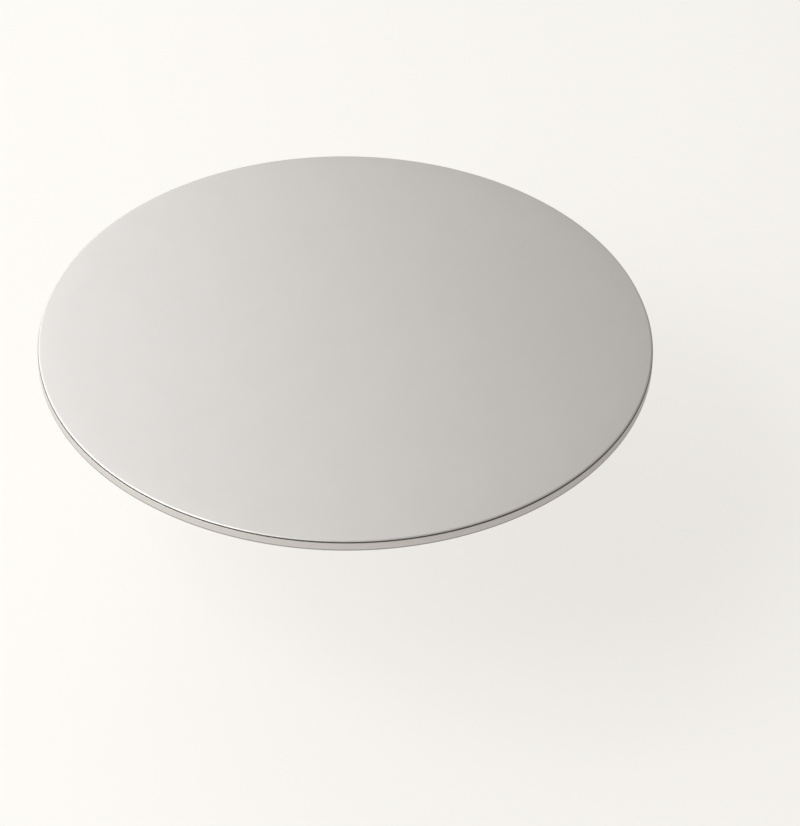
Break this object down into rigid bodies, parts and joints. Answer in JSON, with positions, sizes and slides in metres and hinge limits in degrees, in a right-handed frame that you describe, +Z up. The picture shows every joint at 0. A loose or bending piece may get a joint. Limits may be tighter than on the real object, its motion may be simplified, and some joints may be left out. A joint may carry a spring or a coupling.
{
  "type": "cake board",
  "caption": "Thin round flat board faced with satin silver foil, with a softly rounded edge, for carrying and serving a cake.",
  "frame": {"origin": "centre of the underside, on the surface that the board rests on", "axes": "+Z up out of the flat top face; the board is round about Z, so X and Y are free"},
  "size_m": [0.254, 0.254, 0.005],
  "materials": {
    "foil": "satin silver foil laminated to a stiff board"
  },
  "bodies": {
    "root": {"board": "foil"}
  },
  "joints": []
}
